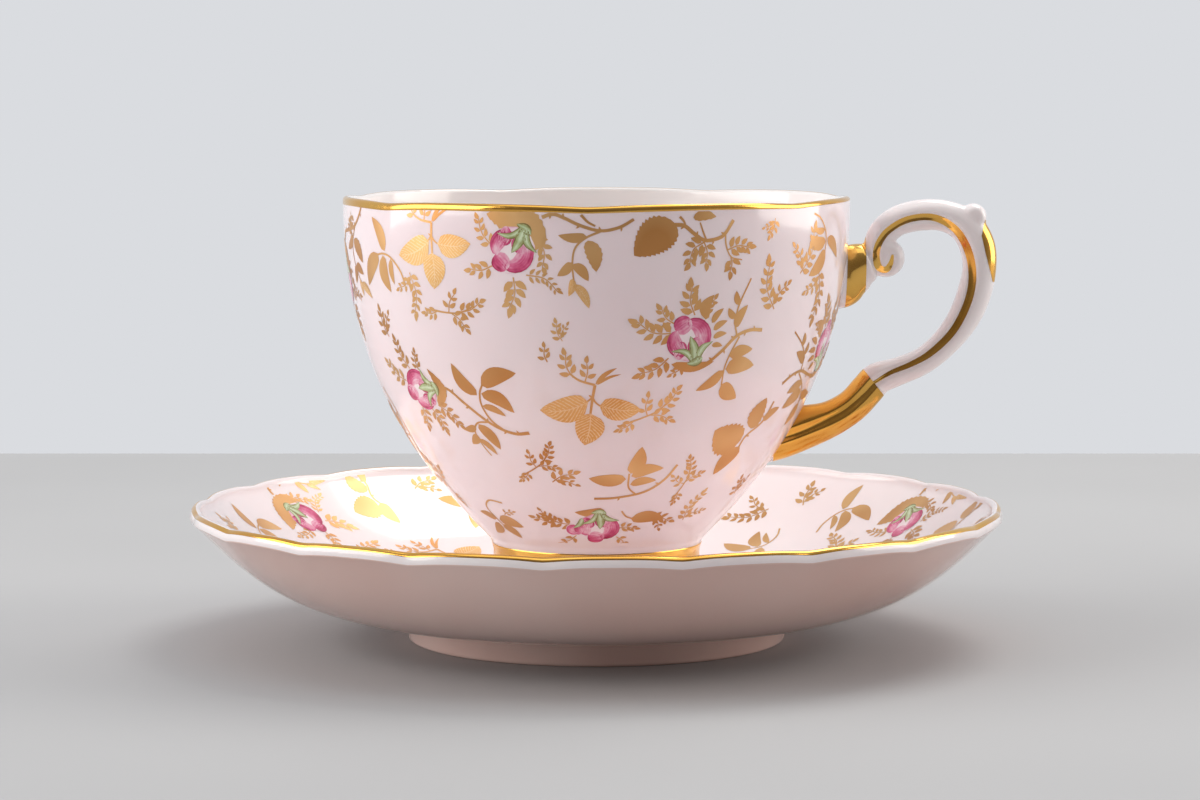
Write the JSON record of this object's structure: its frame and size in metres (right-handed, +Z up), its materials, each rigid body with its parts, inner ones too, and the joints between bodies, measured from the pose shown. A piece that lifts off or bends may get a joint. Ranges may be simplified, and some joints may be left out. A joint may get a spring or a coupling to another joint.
{
  "type": "teacup and saucer",
  "caption": "Footed bone-china teacup with a scroll handle, standing in its wavy-edged saucer; pink glaze, gold trim, rosebud and gold-leaf decoration.",
  "frame": {"origin": "the saucer's axis in the plane that its foot ring stands on", "axes": "+Z up; +X towards the cup's handle"},
  "size_m": [0.14, 0.14, 0.0766],
  "materials": {
    "saucer_china": "glossy white to pale pink bone-china glaze",
    "cup_china": "glossy pale pink bone-china glaze outside, white inside",
    "handle_china": "glossy near-white bone-china glaze",
    "gilding": "burnished bright gold",
    "gold_print": "soft printed gold",
    "enamel_print": "on-glaze enamel in rose pinks and greens"
  },
  "bodies": {
    "saucer": {"saucer_dish": "saucer_china", "saucer_rim_gilding": "gilding"},
    "cup": {"cup_bowl": "cup_china", "cup_foot_ring": "cup_china", "cup_rim_gilding": "gilding", "cup_foot_gilding": "gilding", "cup_handle": "handle_china", "handle_upper_gilding": "gilding", "handle_lower_gilding": "gilding", "handle_thumb_gilding": "gilding", "handle_line_gilding_front": "gilding", "handle_line_gilding_back": "gilding"}
  },
  "joints": [
    {"name": "cup_lift", "type": "slide", "parent": "saucer", "child": "cup", "axis": [0, 0, 1], "range_m": [0, 0.1]}
  ]
}
